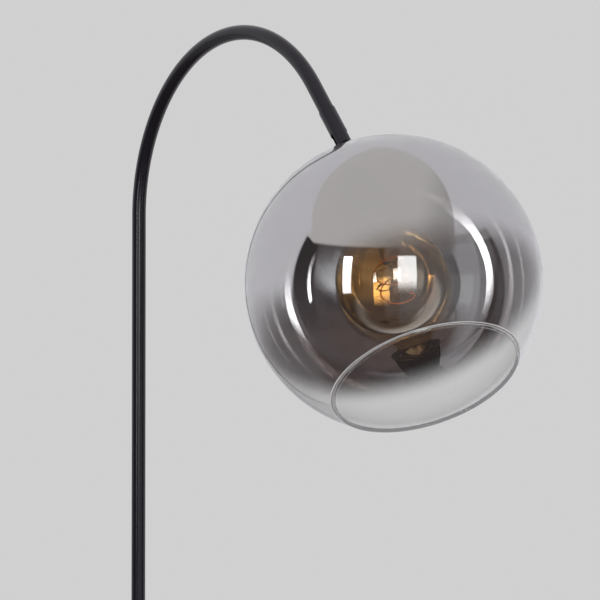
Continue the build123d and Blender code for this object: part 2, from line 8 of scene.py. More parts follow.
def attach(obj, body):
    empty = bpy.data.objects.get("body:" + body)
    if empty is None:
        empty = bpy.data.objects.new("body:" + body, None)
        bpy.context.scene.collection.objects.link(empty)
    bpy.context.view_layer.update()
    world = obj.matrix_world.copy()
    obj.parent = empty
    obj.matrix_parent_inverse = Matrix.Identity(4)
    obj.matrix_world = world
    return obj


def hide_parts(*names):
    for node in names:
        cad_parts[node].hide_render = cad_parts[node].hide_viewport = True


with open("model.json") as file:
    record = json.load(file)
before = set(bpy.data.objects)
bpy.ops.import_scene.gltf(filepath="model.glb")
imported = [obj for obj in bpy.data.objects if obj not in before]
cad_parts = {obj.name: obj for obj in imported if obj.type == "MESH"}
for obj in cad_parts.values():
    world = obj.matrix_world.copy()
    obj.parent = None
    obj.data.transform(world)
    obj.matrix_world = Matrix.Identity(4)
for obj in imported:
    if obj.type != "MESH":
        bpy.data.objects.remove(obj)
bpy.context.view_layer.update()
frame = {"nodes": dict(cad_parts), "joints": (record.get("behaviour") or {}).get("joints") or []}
cadNodes = frame["nodes"]
joints = {j["name"]: j for j in frame["joints"]}
mm = 0.001
onAxis = 1e-6                # millimetres; a smaller radius is a point on the axis

# the lamp's own directions, from the joints
armDown = Vector(joints["arm_swivel"]["axis"]).normalized()
pinDir = Vector(joints["shade_tilt"]["axis"]).normalized()
pivot = Vector(joints["shade_tilt"]["pos_m"])
tiltRest = radians(7.3)
pivotToGlobe = 0.142
shadeDown = armDown * cos(tiltRest) + pinDir.cross(armDown) * sin(tiltRest)
globeCentre = pivot + shadeDown * pivotToGlobe
headUp = -shadeDown
headAcross = headUp.cross(pinDir)
headPlace = Matrix((
    (pinDir.x, headAcross.x, headUp.x, globeCentre.x),
    (pinDir.y, headAcross.y, headUp.y, globeCentre.y),
    (pinDir.z, headAcross.z, headUp.z, globeCentre.z),
    (0, 0, 0, 1)))
polePlace = Matrix.Translation((-0.085, 0, 0))

# the photograph's view: level direction, and where its right side lies
lookLevel = Vector((-0.80255, 0.59658, 0))
viewRight = Vector((0.59658, 0.80255, 0))
viewBack = -lookLevel


# mesh helpers

def meshPiece(name, mesh, material, smoothAngle=35):
    piece = bpy.data.objects.new(name, mesh)
    bpy.context.scene.collection.objects.link(piece)
    for i, coat in enumerate(material if isinstance(material, list) else [material]):
        if i < len(mesh.materials):
            mesh.materials[i] = coat
        else:
            mesh.materials.append(coat)
    mesh.polygons.foreach_set("use_smooth", [True] * len(mesh.polygons))
    mesh.set_sharp_from_angle(angle=radians(smoothAngle))
    return piece


def turned(name, profile, place, material, steps, closed=True, smoothAngle=35, faceSlot=None):
    # profile is (radius, height) in millimetres round the place's Z axis
    bm = bmesh.new()
    angles = [2 * pi * i / steps for i in range(steps)]
    rings = []
    for r, h in profile:
        if r < onAxis:
            rings.append([bm.verts.new((0, 0, h * mm))])
        else:
            rings.append([bm.verts.new((r * mm * cos(a), r * mm * sin(a), h * mm)) for a in angles])
    pairs = list(range(len(rings) - 1)) + ([len(rings) - 1] if closed else [])
    for k in pairs:
        a, b = rings[k], rings[(k + 1) % len(rings)]
        for i in range(steps):
            j = (i + 1) % steps
            corners = [a[i % len(a)], a[j % len(a)], b[j % len(b)], b[i % len(b)]]
            ring = []
            for v in corners:
                if v not in ring:
                    ring.append(v)
            if len(ring) > 2:
                face = bm.faces.new(ring)
                face.material_index = faceSlot[k] if faceSlot else 0
    bmesh.ops.recalc_face_normals(bm, faces=bm.faces)
    bm.transform(place)
    mesh = bpy.data.meshes.new(name)
    bm.to_mesh(mesh)
    bm.free()
    return meshPiece(name, mesh, material, smoothAngle)


def arcPoints(centre, radius, fromDeg, toDeg, count):
    return [(centre[0] + radius * cos(radians(fromDeg + (toDeg - fromDeg) * i / count)),
             centre[1] + radius * sin(radians(fromDeg + (toDeg - fromDeg) * i / count)))
            for i in range(count + 1)]


def easeCurve(p0, t0, p1, t1, count):
    # points between two places, leaving along t0 and arriving along t1
    points = []
    for i in range(count + 1):
        t = i / count
        a, b, c, d = 2 * t**3 - 3 * t**2 + 1, t**3 - 2 * t**2 + t, -2 * t**3 + 3 * t**2, t**3 - t**2
        points.append(tuple(a * p + b * u + c * q + d * v for p, u, q, v in zip(p0, t0, p1, t1)))
    return points


# node helpers

def addNode(tree, kind, place=(0, 0), **values):
    node = tree.nodes.new(kind)
    node.location = place
    for key, value in values.items():
        if key in node.inputs:
            node.inputs[key].default_value = value
        else:
            setattr(node, key, value)
    return node


def feed(tree, value, socket):
    # a socket takes a number, a colour or another node's output
    if isinstance(value, tuple):
        socket.default_value = (*value, 1)
    elif isinstance(value, (int, float)):
        socket.default_value = value
    else:
        tree.links.new(value, socket)


def mathMaker(tree):
    def calc(operation, *values):
        node = addNode(tree, "ShaderNodeMath", operation=operation)
        for socket, value in zip(node.inputs, values):
            feed(tree, value, socket)
        return node.outputs[0]
    return calc


def spread(tree, value, fromLow, fromHigh, toLow=0.0, toHigh=1.0, shape="LINEAR"):
    ramp = addNode(tree, "ShaderNodeMapRange", interpolation_type=shape)
    for label, bound in (("Value", value), ("From Min", fromLow), ("From Max", fromHigh),
                         ("To Min", toLow), ("To Max", toHigh)):
        feed(tree, bound, ramp.inputs[label])
    return ramp.outputs["Result"]


def edgeMask(tree, value, middle, soft):
    return spread(tree, value, middle - soft, middle + soft, shape="SMOOTHSTEP")


def mixTone(tree, label, mask, low, high):
    mix = addNode(tree, "ShaderNodeMix", data_type="RGBA")
    mix.name = label
    for index, value in ((0, mask), (6, low), (7, high)):  # 6 and 7 are the colour sockets
        feed(tree, value, mix.inputs[index])
    return mix.outputs[2]


def mixShaders(tree, share, first, second, place=(500, 0)):
    mix = addNode(tree, "ShaderNodeMixShader", place)
    for socket, value in zip(mix.inputs, (share, first, second)):
        feed(tree, value, socket)
    return mix.outputs[0]


def placeGroup(tree, group, place, values):
    node = addNode(tree, "ShaderNodeGroup", place, node_tree=group)
    for label, value in values.items():
        feed(tree, value, node.inputs[label])
    return node


def emptyMaterial(name):
    material = bpy.data.materials.new(name)
    material.use_nodes = True
    tree = material.node_tree
    tree.nodes.clear()
    return material, tree, addNode(tree, "ShaderNodeOutputMaterial", (900, 0))


def groupTree(name, inputs, outputs):
    tree = bpy.data.node_groups.new(name, "ShaderNodeTree")
    for label, kind, default in inputs:
        socket = tree.interface.new_socket(label, in_out="INPUT", socket_type=kind)
        socket.default_value = default
    for label, kind in outputs:
        tree.interface.new_socket(label, in_out="OUTPUT", socket_type=kind)
    return tree, addNode(tree, "NodeGroupInput", (-700, 0)), addNode(tree, "NodeGroupOutput", (500, 0))


grainMix = {"fineShare": 0.35, "low": 0.35, "high": 0.85}
mottleEdges = (0.35, 0.65)   # of the noise, between one shade and the other


def makeSurfaceGrain():
    # fine unevenness of a surface: a roughness between two values and a height
    tree, into, out = groupTree(
        "surfaceGrain",
        [("Scale", "NodeSocketFloat", 400.0), ("Smooth", "NodeSocketFloat", 0.3),
         ("Rough", "NodeSocketFloat", 0.4), ("Smudge", "NodeSocketFloat", 20.0)],
        [("Roughness", "NodeSocketFloat"), ("Height", "NodeSocketFloat")])
    calc = mathMaker(tree)
    coords = addNode(tree, "ShaderNodeTexCoord", (-700, 300))
    fine = addNode(tree, "ShaderNodeTexNoise", (-400, 200), Detail=3.0, Roughness=0.55)
    broad = addNode(tree, "ShaderNodeTexNoise", (-400, -100), Detail=4.0, Roughness=0.6)
    for noise, size in ((fine, "Scale"), (broad, "Smudge")):
        tree.links.new(coords.outputs["Object"], noise.inputs["Vector"])
        tree.links.new(into.outputs[size], noise.inputs["Scale"])
    blend = calc("MULTIPLY_ADD", fine.outputs["Fac"], grainMix["fineShare"], broad.outputs["Fac"])
    roughness = spread(tree, blend, grainMix["low"], grainMix["high"],
                       into.outputs["Smooth"], into.outputs["Rough"])
    tree.links.new(roughness, out.inputs["Roughness"])
    tree.links.new(fine.outputs["Fac"], out.inputs["Height"])
    return tree


def makeMottle():
    # two close shades of one colour in soft patches
    tree, into, out = groupTree(
        "mottledColour",
        [("Shade A", "NodeSocketColor", (1, 1, 1, 1)), ("Shade B", "NodeSocketColor", (0.8, 0.8, 0.8, 1)),
         ("Scale", "NodeSocketFloat", 30.0)],
        [("Color", "NodeSocketColor")])
    coords = addNode(tree, "ShaderNodeTexCoord", (-700, 300))
    cloud = addNode(tree, "ShaderNodeTexNoise", (-400, 100), Detail=5.0, Roughness=0.62)
    tree.links.new(coords.outputs["Object"], cloud.inputs["Vector"])
    tree.links.new(into.outputs["Scale"], cloud.inputs["Scale"])
    patches = spread(tree, cloud.outputs["Fac"], *mottleEdges)
    shades = mixTone(tree, "shades", patches, into.outputs["Shade A"], into.outputs["Shade B"])
    tree.links.new(shades, out.inputs["Color"])
    return tree


surfaceGrain = makeSurfaceGrain()
mottledColour = makeMottle()


def solidFinish(name, shadeA, shadeB, smooth, rough, grain, bump, mottle, metallic=0.0, smudge=18.0,
                coat=0.0, ior=1.5, bumpDepth=0.0002):
    # an opaque surface: mottled colour, uneven roughness and a fine bump
    material, tree, out = emptyMaterial(name)
    shader = addNode(tree, "ShaderNodeBsdfPrincipled", (550, 0),
                     **{"Metallic": metallic, "Coat Weight": coat, "IOR": ior})
    colour = placeGroup(tree, mottledColour, (100, 200), {"Shade A": shadeA, "Shade B": shadeB, "Scale": mottle})
    texture = placeGroup(tree, surfaceGrain, (100, -100),
                         {"Scale": grain, "Smooth": smooth, "Rough": rough, "Smudge": smudge})
    relief = addNode(tree, "ShaderNodeBump", (330, -250), Strength=bump, Distance=bumpDepth)
    tree.links.new(colour.outputs["Color"], shader.inputs["Base Color"])
    tree.links.new(texture.outputs["Roughness"], shader.inputs["Roughness"])
    tree.links.new(texture.outputs["Height"], relief.inputs["Height"])
    tree.links.new(relief.outputs["Normal"], shader.inputs["Normal"])
    tree.links.new(shader.outputs[0], out.inputs["Surface"])
    return material


# glass
glassLook = {
    "ior": 1.58,
    "lampPass": 0.93,        # share of a lamp's light that goes through plain glass
    "waveScale": 16.0,
    "waveDepth": 0.004,
}
filmLook = {
    "clearHeight": -0.051,   # over the shade's centre, along its axis
    "denseHeight": -0.010,
    "drift": 0.004,
    "driftScale": 14.0,
    "mirrorShare": 0.62,
    "mirrorColour": (0.82, 0.81, 0.82),
    "mirrorRoughness": 0.02,
    "clearTint": (0.99, 0.99, 0.99),
    "smokeTint": (0.009, 0.0055, 0.005),
    "smokeLampPass": 0.5,
    "waves": 0.014,
    "waveScale": 22.0,
}
lustreLook = {"scale": 60.0, "least": 0.8, "most": 1.2, "roughness": 0.03, "ior": 1.5, "lampPass": 0.85}


def glassShader(tree, ior, tint=(1, 1, 1)):
    return addNode(tree, "ShaderNodeBsdfPrincipled", (100, 300), **{
        "Base Color": (*tint, 1), "Roughness": 0.0, "IOR": ior, "Transmission Weight": 1.0})


def mirrorShader(tree, colour, roughness):
    return addNode(tree, "ShaderNodeBsdfPrincipled", (100, -150), **{
        "Base Color": (*colour, 1), "Metallic": 1.0, "Roughness": roughness})


def blownWaves(tree, coords, scale, strength, shader):
    # blown glass is never quite even
    swell = addNode(tree, "ShaderNodeTexNoise", (-600, -400), Scale=scale, Detail=1.5, Roughness=0.45)
    relief = addNode(tree, "ShaderNodeBump", (-250, -400), Strength=strength, Distance=glassLook["waveDepth"])
    tree.links.new(coords.outputs["Object"], swell.inputs["Vector"])
    tree.links.new(swell.outputs["Fac"], relief.inputs["Height"])
    tree.links.new(relief.outputs["Normal"], shader.inputs["Normal"])


def finishGlass(tree, out, path, seen, lampColour):
    # a lamp shines through the glass, which would cast a hard shadow otherwise
    lampWay = addNode(tree, "ShaderNodeBsdfTransparent", (400, -500))
    feed(tree, lampColour, lampWay.inputs["Color"])
    tree.links.new(mixShaders(tree, path.outputs["Is Shadow Ray"], seen, lampWay.outputs[0], (650, 0)),
                   out.inputs["Surface"])


def clearGlass(name, tint=(0.985, 0.99, 0.99), ior=glassLook["ior"], waves=0.0, unbent=0.0,
               leaveAfter=None, leaveTint=0.3):
    material, tree, out = emptyMaterial(name)
    shader = glassShader(tree, ior, tint)
    path = addNode(tree, "ShaderNodeLightPath", (300, 500))
    if waves:
        blownWaves(tree, addNode(tree, "ShaderNodeTexCoord", (-900, -400)), glassLook["waveScale"], waves, shader)
    seen = shader.outputs[0]
    if unbent:
        # a fire-polished edge is thin enough to let part of the light go straight on
        straightOn = addNode(tree, "ShaderNodeBsdfTransparent", (300, -100))
        seen = mixShaders(tree, unbent, seen, straightOn.outputs[0])
    if leaveAfter is not None:
        # light caught inside the wall leaves it once it was mirrored more often than this
        leaving = addNode(tree, "ShaderNodeBsdfTransparent", (300, -250), Color=(*[leaveTint] * 3, 1))
        caught = mathMaker(tree)("GREATER_THAN", path.outputs["Glossy Depth"], leaveAfter + 0.5)
        seen = mixShaders(tree, caught, seen, leaving.outputs[0])
    finishGlass(tree, out, path, seen, tuple(glassLook["lampPass"] * t for t in tint))
    return material


def mirrorFilmGlass(name, look):
    # the shade's inner face: plain glass whose smoked mirror film grows denser toward the neck
    material, tree, out = emptyMaterial(name)
    calc = mathMaker(tree)
    coords = addNode(tree, "ShaderNodeTexCoord", (-1500, 200))
    away = addNode(tree, "ShaderNodeVectorMath", (-1300, 200), operation="SUBTRACT")
    away.inputs[1].default_value = globeCentre
    rise = addNode(tree, "ShaderNodeVectorMath", (-1100, 200), operation="DOT_PRODUCT")
    rise.inputs[1].default_value = headUp
    cloud = addNode(tree, "ShaderNodeTexNoise", (-1300, -100), Scale=look["driftScale"], Detail=2.0)
    tree.links.new(coords.outputs["Object"], away.inputs[0])
    tree.links.new(away.outputs[0], rise.inputs[0])
    tree.links.new(coords.outputs["Object"], cloud.inputs["Vector"])
    height = calc("MULTIPLY_ADD", cloud.outputs["Fac"], look["drift"], rise.outputs["Value"])
    band = spread(tree, height, look["clearHeight"], look["denseHeight"], shape="SMOOTHERSTEP")
    glass = glassShader(tree, glassLook["ior"])
    tree.links.new(mixTone(tree, "smoke", band, look["clearTint"], look["smokeTint"]), glass.inputs["Base Color"])
    mirror = mirrorShader(tree, look["mirrorColour"], look["mirrorRoughness"])
    blownWaves(tree, coords, look["waveScale"], look["waves"], mirror)
    coated = mixShaders(tree, calc("MULTIPLY", band, look["mirrorShare"]), glass.outputs[0], mirror.outputs[0])
    lampTone = mixTone(tree, "lampTone", band, (glassLook["lampPass"],) * 3,
                       tuple(look["smokeLampPass"] * t for t in look["smokeTint"]))
    finishGlass(tree, out, addNode(tree, "ShaderNodeLightPath", (400, 500)), coated, lampTone)
    return material


def lustreGlass(name, tint, lustre, share):
    # amber bulb glass: tinted, with a thin gold lustre that mirrors a little
    look = lustreLook
    material, tree, out = emptyMaterial(name)
    coords = addNode(tree, "ShaderNodeTexCoord", (-700, 0))
    cloud = addNode(tree, "ShaderNodeTexNoise", (-500, 0), Scale=look["scale"], Detail=3.0)
    tree.links.new(coords.outputs["Object"], cloud.inputs["Vector"])
    amount = spread(tree, cloud.outputs["Fac"], 0.0, 1.0, share * look["least"], share * look["most"])
    glass = glassShader(tree, look["ior"], tint)
    gold = mirrorShader(tree, lustre, look["roughness"])
    coated = mixShaders(tree, amount, glass.outputs[0], gold.outputs[0])
    finishGlass(tree, out, addNode(tree, "ShaderNodeLightPath", (400, 500)), coated,
                tuple(look["lampPass"] * t for t in tint))
    return material


# finishes
blackPaint = solidFinish("blackPaint", (0.0060, 0.0050, 0.0085), (0.0085, 0.0070, 0.0115), smooth=0.18,
                         rough=0.27, grain=1400.0, bump=0.05, mottle=25.0, smudge=12.0, ior=1.4)
castIron = solidFinish("castIron", (0.10, 0.095, 0.09), (0.16, 0.15, 0.145), metallic=0.6, smooth=0.5,
                       rough=0.8, grain=500.0, bump=0.6, mottle=60.0, bumpDepth=0.0004)
softRubber = solidFinish("softRubber", (0.022, 0.022, 0.023), (0.035, 0.034, 0.034), smooth=0.65, rough=0.85,
                         grain=1100.0, bump=0.3, mottle=40.0)
zincSteel = solidFinish("zincSteel", (0.60, 0.60, 0.58), (0.50, 0.51, 0.52), metallic=1.0, smooth=0.22,
                        rough=0.4, grain=900.0, bump=0.08, mottle=50.0)
rawBrass = solidFinish("rawBrass", (0.78, 0.60, 0.30), (0.66, 0.48, 0.22), metallic=1.0, smooth=0.2,
                       rough=0.42, grain=700.0, bump=0.08, mottle=45.0)
nickelShell = solidFinish("nickelShell", (0.72, 0.68, 0.60), (0.62, 0.58, 0.52), metallic=1.0, smooth=0.18,
                          rough=0.33, grain=700.0, bump=0.06, mottle=60.0)
blackNylon = solidFinish("blackNylon", (0.020, 0.020, 0.022), (0.028, 0.028, 0.030), smooth=0.5, rough=0.65,
                         grain=1000.0, bump=0.2, mottle=60.0)
blackPhenolic = solidFinish("blackPhenolic", (0.016, 0.016, 0.017), (0.022, 0.021, 0.022), smooth=0.42,
                            rough=0.55, grain=600.0, bump=0.1, mottle=40.0)
glazedCeramic = solidFinish("glazedCeramic", (0.82, 0.80, 0.75), (0.86, 0.85, 0.81), smooth=0.12, rough=0.3,
                            grain=300.0, bump=0.05, mottle=35.0, coat=0.4)
cableSheath = solidFinish("cableSheath", (0.020, 0.020, 0.022), (0.030, 0.030, 0.032), smooth=0.45, rough=0.6,
                          grain=800.0, bump=0.15, mottle=50.0)
blackGlass = solidFinish("blackGlass", (0.015, 0.015, 0.022), (0.022, 0.022, 0.03), smooth=0.05, rough=0.15,
                         grain=400.0, bump=0.03, mottle=30.0)
amberCoat = solidFinish("amberCoat", (0.50, 0.13, 0.03), (0.60, 0.20, 0.05), smooth=0.3, rough=0.5,
                        grain=900.0, bump=0.3, mottle=350.0)
outerGlass = clearGlass("outerGlass", waves=0.10, leaveAfter=2)
filmGlass = mirrorFilmGlass("filmGlass", filmLook)
rimGlass = clearGlass("rimGlass", ior=1.45, unbent=0.35, leaveAfter=0, leaveTint=0.75)
bulbGlassLook = lustreGlass("bulbGlassLook", (0.97, 0.81, 0.56), (1.0, 0.93, 0.84), 0.075)
stemGlass = clearGlass("stemGlass", tint=(0.97, 0.98, 0.97), ior=1.48)
print("finishes made")

cadFinish = {nodeName: coat for coat, names in (
    (blackPaint, "base_cover foot_flange pole_lower pole_upper arc_tube knuckle_fork pivot_screws"),
    (blackPaint, "knuckle_tongue shade_cap"),
    (zincSteel, "base_stud base_nut base_washer tube_bushings joint_nipples end_bushing swivel_stem"),
    (zincSteel, "stem_nut clamp_dish clamp_nut neck_nipple filament_wires"),
    (blackNylon, "cord_gland swivel_washer friction_discs neck_bush"),
    (softRubber, "base_pad outer_gasket inner_gasket"),
    (castIron, "base_weight"),
    (cableSheath, "mains_cable head_leads"),
    (blackPhenolic, "holder_dome holder_skirt"),
    (glazedCeramic, "holder_core"),
    (rawBrass, "socket_shell terminal_blocks centre_contact"),
    (nickelShell, "bulb_shell bulb_tip"),
    (blackGlass, "bulb_insulator"),
    (stemGlass, "bulb_stem"),
    (outerGlass, "glass_shade"),
    (bulbGlassLook, "bulb_glass"),
    (amberCoat, "filament"),
) for nodeName in names.split()}
for nodeName, node in cadNodes.items():
    node.data.materials.clear()
    node.data.materials.append(cadFinish[nodeName])

# a line of points laid along a route and swept by a round
def sweptRouteTree(name, sizes, route, caps=False):
    # sizes are the names of the route's own inputs
    tree = bpy.data.node_groups.new(name, "GeometryNodeTree")
    for label, kind in [(size, "Float") for size in sizes] + [
            ("Round Radius", "Float"), ("Steps", "Int"), ("Sides", "Int"), ("Finish", "Material")]:
        tree.interface.new_socket(label, in_out="INPUT", socket_type="NodeSocket" + kind)
    tree.interface.new_socket("Mesh", in_out="OUTPUT", socket_type="NodeSocketGeometry")
    into = addNode(tree, "NodeGroupInput", (-1200, 0))
    out = addNode(tree, "NodeGroupOutput", (1200, 0))
    calc = mathMaker(tree)
    line = addNode(tree, "GeometryNodeMeshLine", (-900, 300))
    spline = addNode(tree, "GeometryNodeMeshToCurve", (-600, 300))
    index = addNode(tree, "GeometryNodeInputIndex", (-1200, -300)).outputs[0]
    share = calc("DIVIDE", index, calc("SUBTRACT", into.outputs["Steps"], 1))
    axes, thickness = route(calc, share, *(into.outputs[size] for size in sizes))
    place = addNode(tree, "ShaderNodeCombineXYZ", (-300, -300))
    for axis, value in axes.items():
        tree.links.new(value, place.inputs[axis])
    bent = addNode(tree, "GeometryNodeSetPosition", (-100, 300))
    profile = addNode(tree, "GeometryNodeCurvePrimitiveCircle", (-100, -100))
    skin = addNode(tree, "GeometryNodeCurveToMesh", (200, 200), **{"Fill Caps": caps})
    if thickness:
        tree.links.new(thickness, skin.inputs["Scale"])
    real = addNode(tree, "GeometryNodeRealizeInstances", (500, 200))
    coat = addNode(tree, "GeometryNodeSetMaterial", (800, 200))
    for source, target in (
            (into.outputs["Steps"], line.inputs["Count"]),
            (line.outputs[0], spline.inputs[0]),
            (spline.outputs[0], bent.inputs["Geometry"]),
            (place.outputs[0], bent.inputs["Position"]),
            (into.outputs["Sides"], profile.inputs["Resolution"]),
            (into.outputs["Round Radius"], profile.inputs["Radius"]),
            (bent.outputs[0], skin.inputs["Curve"]),
            (profile.outputs[0], skin.inputs["Profile Curve"]),
            (skin.outputs[0], real.inputs[0]),
            (real.outputs[0], coat.inputs[0]),
            (into.outputs["Finish"], coat.inputs["Material"]),
            (coat.outputs[0], out.inputs[0])):
        tree.links.new(source, target)
    return tree


def runTree(name, tree, sizes, place, material, smoothAngle=35, wall=0.0):
    # runs a geometry tree and returns its mesh as a plain piece; input "Bend Angle" takes sizes["bendAngle"]
    carrier = bpy.data.objects.new(name + "Maker", bpy.data.meshes.new(name + "Maker"))
    bpy.context.scene.collection.objects.link(carrier)
    maker = carrier.modifiers.new("maker", "NODES")
    maker.node_group = tree
    values = {**sizes, "finish": material}
    for item in tree.interface.items_tree:
        key = item.name[0].lower() + item.name[1:].replace(" ", "")
        if item.in_out == "INPUT":
            maker[item.identifier] = values[key]
    view = bpy.context.evaluated_depsgraph_get()
    mesh = bpy.data.meshes.new_from_object(carrier.evaluated_get(view), depsgraph=view)
    mesh.name = name
    carrier.modifiers.remove(maker)
    bpy.data.objects.remove(carrier)
    mesh.transform(place)
    bm = bmesh.new()
    bm.from_mesh(mesh)
    bmesh.ops.remove_doubles(bm, verts=bm.verts, dist=1e-7)
    bmesh.ops.recalc_face_normals(bm, faces=bm.faces)
    bm.to_mesh(mesh)
    bm.free()
    if wall:
        shell = bpy.data.objects.new(name + "Shell", mesh)
        bpy.context.scene.collection.objects.link(shell)
        thick = shell.modifiers.new("wall", "SOLIDIFY")
        thick.thickness = wall
        thick.offset = -1.0
        view = bpy.context.evaluated_depsgraph_get()
        mesh = bpy.data.meshes.new_from_object(shell.evaluated_get(view), depsgraph=view)
        mesh.name = name
        bpy.data.objects.remove(shell)
    return meshPiece(name, mesh, material, smoothAngle)


# arc tube: a straight leg, the bend and a straight arm
arcTubeSize = {"legFoot": 0.908, "legLength": 0.420, "bendRadius": 0.165, "bendAngle": radians(141.5),
               "armLength": 0.044, "roundRadius": 0.007, "wall": 0.0012, "steps": 420, "sides": 48}


def arcRoute(calc, share, leg, radius, angle, arm):
    bend = calc("MULTIPLY", radius, angle)
    along = calc("MULTIPLY", share, calc("ADD", calc("ADD", leg, bend), arm))
    pastLeg = calc("SUBTRACT", along, leg)
    straight = calc("MINIMUM", along, leg)
    turn = calc("MINIMUM", calc("MAXIMUM", calc("DIVIDE", pastLeg, radius), 0), angle)
    beyond = calc("MAXIMUM", calc("SUBTRACT", pastLeg, bend), 0)
    x = calc("ADD", calc("MULTIPLY", radius, calc("SUBTRACT", 1, calc("COSINE", turn))),
             calc("MULTIPLY", beyond, calc("SINE", angle)))
    z = calc("ADD", calc("ADD", straight, calc("MULTIPLY", radius, calc("SINE", turn))),
             calc("MULTIPLY", beyond, calc("COSINE", angle)))
    return {"X": x, "Z": z}, None


arcTree = sweptRouteTree("sweptTube", ("Leg Length", "Bend Radius", "Bend Angle", "Arm Length"), arcRoute)
arcTube = runTree("arcTube", arcTree, arcTubeSize, polePlace @ Matrix.Translation((0, 0, arcTubeSize["legFoot"])),
                  blackPaint, wall=arcTubeSize["wall"])
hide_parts("arc_tube")
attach(arcTube, "stand")

# pole: two straight lengths that meet in a fine joint
poleSize = {"foot": 30.0, "seam": 469.0, "top": 908.0, "outer": 7.0, "bore": 5.8, "chamfer": 0.3}
for name, node, low, high in (("poleLower", "pole_lower", poleSize["foot"], poleSize["seam"]),
                              ("poleUpper", "pole_upper", poleSize["seam"], poleSize["top"])):
    r, b, c = poleSize["outer"], poleSize["bore"], poleSize["chamfer"]
    pole = turned(name, [(b, low), (r - c, low), (r, low + c), (r, high - c), (r - c, high), (b, high)],
                  polePlace, blackPaint, steps=64)
    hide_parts(node)
    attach(pole, "stand")
print("tubes made")

# glass globe
shadeSize = {"outer": 125.0, "wall": 2.2, "mouth": 78.5, "neckHole": 7.0, "bead": 1.7,
             "steps": 288, "arcSteps": 150, "beadSteps": 28}


def shadeProfile(s):
    outer, inner = s["outer"], s["outer"] - s["wall"]
    holeOut, holeIn = degrees(acos(s["neckHole"] / outer)), degrees(acos(s["neckHole"] / inner))
    rim = -degrees(acos(s["mouth"] / outer))
    beadReach = sqrt(s["bead"] ** 2 - (s["wall"] / 2) ** 2)
    outTop, inTop = rim + degrees(beadReach / outer), rim + degrees(beadReach / inner)
    outside = arcPoints((0, 0), outer, holeOut, outTop, s["arcSteps"])
    middle = outer - s["wall"] / 2
    beadCentre = (middle * cos(radians(rim)), middle * sin(radians(rim)))
    start = degrees(atan2(outside[-1][1] - beadCentre[1], outside[-1][0] - beadCentre[0]))
    inside = arcPoints((0, 0), inner, inTop, holeIn, s["arcSteps"])
    end = degrees(atan2(inside[0][1] - beadCentre[1], inside[0][0] - beadCentre[0]))
    while end > start:
        end -= 360
    bead = arcPoints(beadCentre, s["bead"], start, end, s["beadSteps"])[1:-1]
    # a material slot for each ring of faces: outer face, rim, film and the neck's hole
    slots = [0] * (len(outside) - 1) + [2] * (len(bead) + 1) + [1] * (len(inside) - 1) + [0]
    return outside + bead + inside, slots


profile, slots = shadeProfile(shadeSize)
globeShade = turned("globeShade", profile, headPlace, [outerGlass, filmGlass, rimGlass],
                    steps=shadeSize["steps"], faceSlot=slots, smoothAngle=50)
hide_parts("glass_shade")
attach(globeShade, "head")

# bulb
bulbSize = {"above": 5.04, "radius": 47.5, "wall": 1.0, "neck": 12.6, "shellFoot": 67.9, "shoulder": 58.0,
            "leave": 26, "arrive": 22, "steps": 144, "ballSteps": 90, "throatSteps": 30}


def bulbProfile(s):
    outline = []
    for radius, inset in ((s["radius"], 0.0), (s["radius"] - s["wall"], s["wall"])):
        ball = arcPoints((0, s["above"]), radius, -90, s["shoulder"], s["ballSteps"])
        ball[0] = (0.0, ball[0][1])
        lead = (-sin(radians(s["shoulder"])) * s["leave"], cos(radians(s["shoulder"])) * s["leave"])
        throat = easeCurve(ball[-1], lead, (s["neck"] - inset, s["shellFoot"]), (0, s["arrive"]), s["throatSteps"])
        outline.append(ball + throat[1:])
    return outline[0] + outline[1][::-1]


bulbGlass = turned("bulbGlass", bulbProfile(bulbSize), headPlace, bulbGlassLook, steps=bulbSize["steps"],
                   closed=False, smoothAngle=60)
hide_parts("bulb_glass")
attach(bulbGlass, "head")

# filament: one loose coil, its ends pinched round the two wires
filamentSize = {"coilRadius": 0.0135, "pitch": 0.019, "turns": 2.25, "foot": -0.019335,
                "start": radians(-135.0), "roundRadius": 0.00062, "wander": 0.0005, "breaths": 17.0,
                "pinchShare": 0.02, "pinchGrowth": 0.35, "steps": 260, "sides": 12}


def coilRoute(calc, share, coilRadius, pitch, turns, foot, start, wander):
    s = filamentSize
    wound = calc("MULTIPLY", share, turns)
    angle = calc("MULTIPLY_ADD", wound, 2 * pi, start)
    # hand-wound: the coil breathes in and out a little, but not at its two held ends
    held = calc("SINE", calc("MULTIPLY", share, pi))
    breath = calc("MULTIPLY", calc("MULTIPLY", calc("SINE", calc("MULTIPLY", share, s["breaths"])), held), wander)
    radius = calc("ADD", coilRadius, breath)
    axes = {"X": calc("MULTIPLY", radius, calc("COSINE", angle)),
            "Y": calc("MULTIPLY", radius, calc("SINE", angle)),
            "Z": calc("MULTIPLY_ADD", wound, pitch, foot)}
    # thicker at both ends, where a sleeve pinches it to its wire
    ends = calc("MAXIMUM", calc("LESS_THAN", share, s["pinchShare"]),
                calc("GREATER_THAN", share, 1 - s["pinchShare"]))
    return axes, calc("MULTIPLY_ADD", ends, s["pinchGrowth"], 1.0)


coilTree = sweptRouteTree("looseCoil", ("Coil Radius", "Pitch", "Turns", "Foot", "Start", "Wander"), coilRoute,
                          caps=True)
filamentCoil = runTree("filamentCoil", coilTree, filamentSize, headPlace, amberCoat, smoothAngle=60)
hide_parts("filament")
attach(filamentCoil, "head")
print("glass and filament made")

